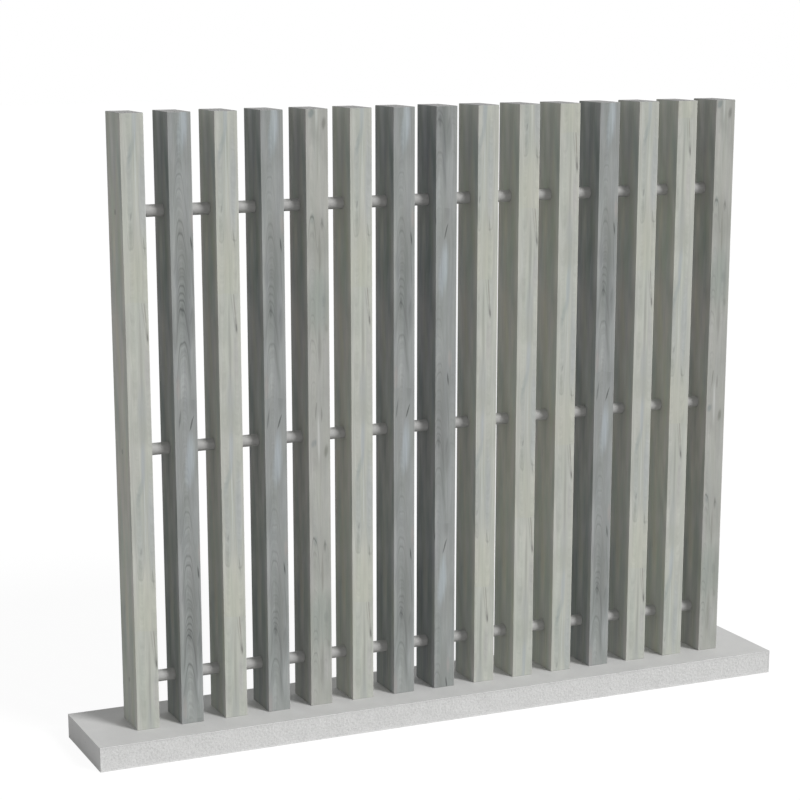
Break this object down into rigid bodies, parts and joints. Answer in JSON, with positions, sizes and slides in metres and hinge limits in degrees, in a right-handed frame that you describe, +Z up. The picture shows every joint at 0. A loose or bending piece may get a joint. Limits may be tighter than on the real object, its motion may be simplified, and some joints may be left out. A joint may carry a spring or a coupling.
{
  "type": "garden privacy screen",
  "caption": "Free-standing garden privacy screen: upright rectangular timber posts on a concrete slab, held in line by horizontal round metal rails.",
  "frame": {"origin": "centre of the slab's underside, on the ground", "axes": "+X along the row of posts, +Y from the front face to the back face, +Z up"},
  "size_m": [2.324, 0.34, 1.893],
  "materials": {
    "timber_light": "weathered planed timber, light silver grey",
    "timber_mid": "weathered planed timber, mid silver grey",
    "timber_dark": "weathered planed timber, cool grey",
    "concrete": "pale grey cast concrete, smooth top, lightly pitted sides",
    "rail_metal": "satin mill-finished round bar",
    "fixing_steel": "dull zinc-plated steel"
  },
  "bodies": {
    "root": {"slab": "concrete", "post_01": "timber_light", "post_02": "timber_dark", "post_03": "timber_light", "post_04": "timber_dark", "post_05": "timber_mid", "post_06": "timber_light", "post_07": "timber_dark", "post_08": "timber_dark", "post_09": "timber_light", "post_10": "timber_light", "post_11": "timber_light", "post_12": "timber_dark", "post_13": "timber_light", "post_14": "timber_light", "post_15": "timber_mid", "rail_lower": "rail_metal", "rail_middle": "rail_metal", "rail_upper": "rail_metal", "rail_screws": "fixing_steel", "foot_tongues": "fixing_steel"}
  },
  "joints": []
}
